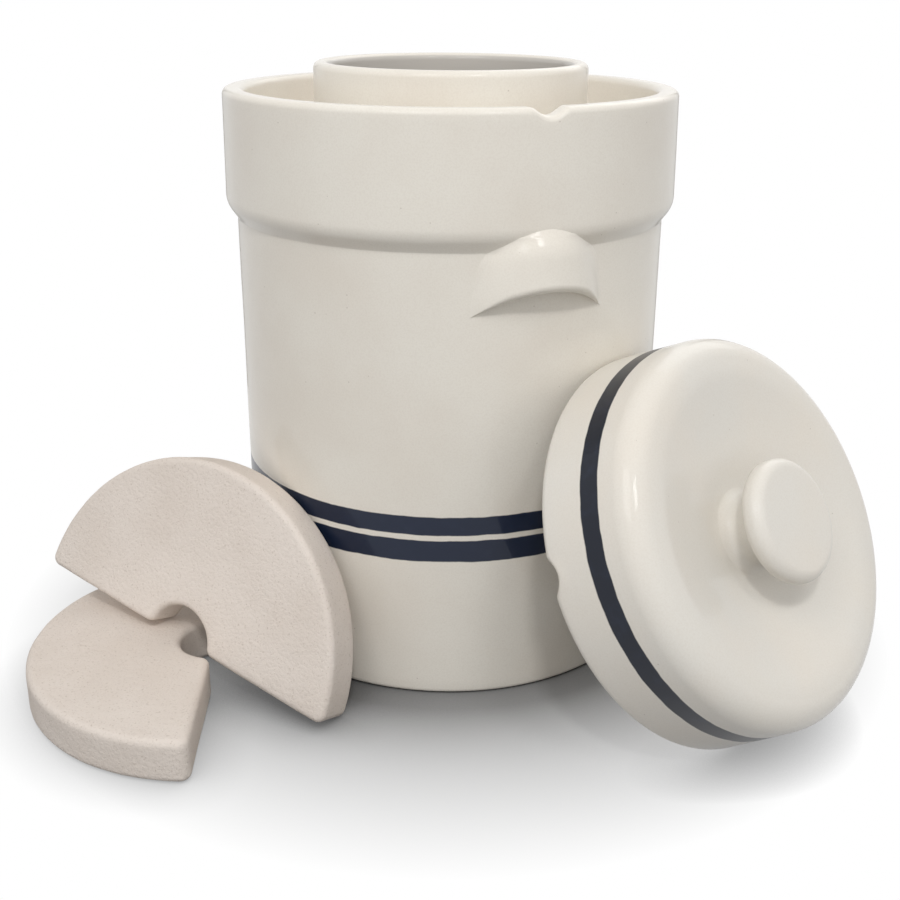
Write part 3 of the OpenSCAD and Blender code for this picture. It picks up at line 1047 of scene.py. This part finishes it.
# %% Lay the floor
FLOOR_HALF = 6.0
floor_bm = bmesh.new()
bmesh.ops.create_grid(floor_bm, x_segments=1, y_segments=1, size=FLOOR_HALF)
floor = put_in_scene(floor_bm, "white_floor", paper)
print(floor.name, 2 * FLOOR_HALF, "m across")

# %% [markdown]
# ## Lamps
# The photograph has soft studio light from the front and above. A small key lamp stands high in
# front and draws the shadows under the lugs, a wide lamp at the left fills them, and a large one
# behind at the right lights the rims. The window lamp at the right is the one that shows as small
# bright spots on the glaze, so the key is hidden from the gloss. One big lamp would be simpler, but
# would flatten the forms.

# %% Hang the lamps
RIGHT = turn_to_photo @ Vector((1, 0, 0))
NEAR = turn_to_photo @ Vector((0, -1, 0))
AIM = Vector((0, 0, 0.16))


def lamp(name, right, near, up, size, power):
    """A square lamp aimed at the crock, placed in metres as the camera sees it."""
    data = bpy.data.lights.new(name, "AREA")
    data.shape = "SQUARE"
    data.size = size
    data.energy = power
    obj = bpy.data.objects.new(name, data)
    scene.collection.objects.link(obj)
    obj.location = RIGHT * right + NEAR * near + Vector((0, 0, up))
    obj.rotation_euler = (AIM - obj.location).to_track_quat("-Z", "Y").to_euler()
    print(name, size, "m wide,", power, "W")
    return obj


key = lamp("key_lamp", right=0.05, near=1.25, up=1.36, size=0.15, power=6.4)
key.visible_glossy = False
lamp("window_lamp", right=0.55, near=1.15, up=1.6, size=0.35, power=3.5)
lamp("side_lamp", right=-0.5, near=1.15, up=1.6, size=0.8, power=5.6)
lamp("back_lamp", right=0.8, near=-1.2, up=1.4, size=1.3, power=5.5)

# %% [markdown]
# ## Room
# The room behind is white to the rays that look at it. As a light it is brighter at the horizon
# than overhead, so that upright walls get as much of it as the tops do. A plain grey world would
# be simpler, but leaves the walls too dark beside the rims.

# %% Paint the room
HORIZON = grey(0.92)
OVERHEAD = grey(0.52)
world = bpy.data.worlds.new("white_room")
scene.world = world
tree = bare_tree(world)
heading = add(tree, "ShaderNodeTexCoord").outputs["Generated"]
upward = add(tree, "ShaderNodeSeparateXYZ", {0: heading}).outputs[2]
ceiling = mixed(tree, ramped(tree, upward, -0.1, 0.9), HORIZON, OVERHEAD)
dim = add(tree, "ShaderNodeBackground", {"Color": ceiling, "Strength": 1.0}).outputs[0]
bright = add(tree, "ShaderNodeBackground", {"Color": grey(1.0), "Strength": 1.0}).outputs[0]
pick = add(tree, "ShaderNodeMixShader", {0: seen_rays(tree), 1: dim, 2: bright}).outputs[0]
add(tree, "ShaderNodeOutputWorld", {"Surface": pick})
print(world.name, len(tree.nodes), "nodes")

# %% [markdown]
# ## Flags
# White ware on a white ground loses its edge. A photographer stands two narrow grey flags behind it,
# out of the picture. Each is seen only in the gloss, as a thin upright line beside the edge. Darker
# glaze at the edges would do the same in one picture, but would be wrong from any other side.

# %% Stand two grey flags behind the crock
FLAG_TURN = math.radians(34)
FLAG_OUT = 0.5
FLAG_WIDE = 0.035
FLAG_TALL = 0.5
flag_grey = bpy.data.materials.new("grey_flag")
tree = bare_tree(flag_grey)
glow = add(tree, "ShaderNodeEmission", {"Color": grey(0.06)})
add(tree, "ShaderNodeOutputMaterial", {"Surface": glow.outputs[0]})
stand_up = Matrix.Rotation(math.pi / 2, 3, "X")
for name, way in (("flag_left", 1), ("flag_right", -1)):
    bm = bmesh.new()
    bmesh.ops.create_grid(bm, x_segments=1, y_segments=1, size=0.5)
    bmesh.ops.scale(bm, vec=(FLAG_WIDE, FLAG_TALL, 1), verts=bm.verts[:])
    bmesh.ops.rotate(bm, cent=(0, 0, 0), matrix=stand_up, verts=bm.verts[:])
    bmesh.ops.translate(bm, vec=(0, FLAG_OUT, FLAG_TALL / 2), verts=bm.verts[:])
    bmesh.ops.rotate(bm, cent=(0, 0, 0), verts=bm.verts[:],
                     matrix=Matrix.Rotation(BEARING + way * FLAG_TURN, 3, "Z"))
    flag = put_in_scene(bm, name, flag_grey)
    flag.visible_camera = False
    flag.visible_diffuse = False
    flag.visible_shadow = False
print("two flags", FLAG_WIDE, "by", FLAG_TALL, "m")
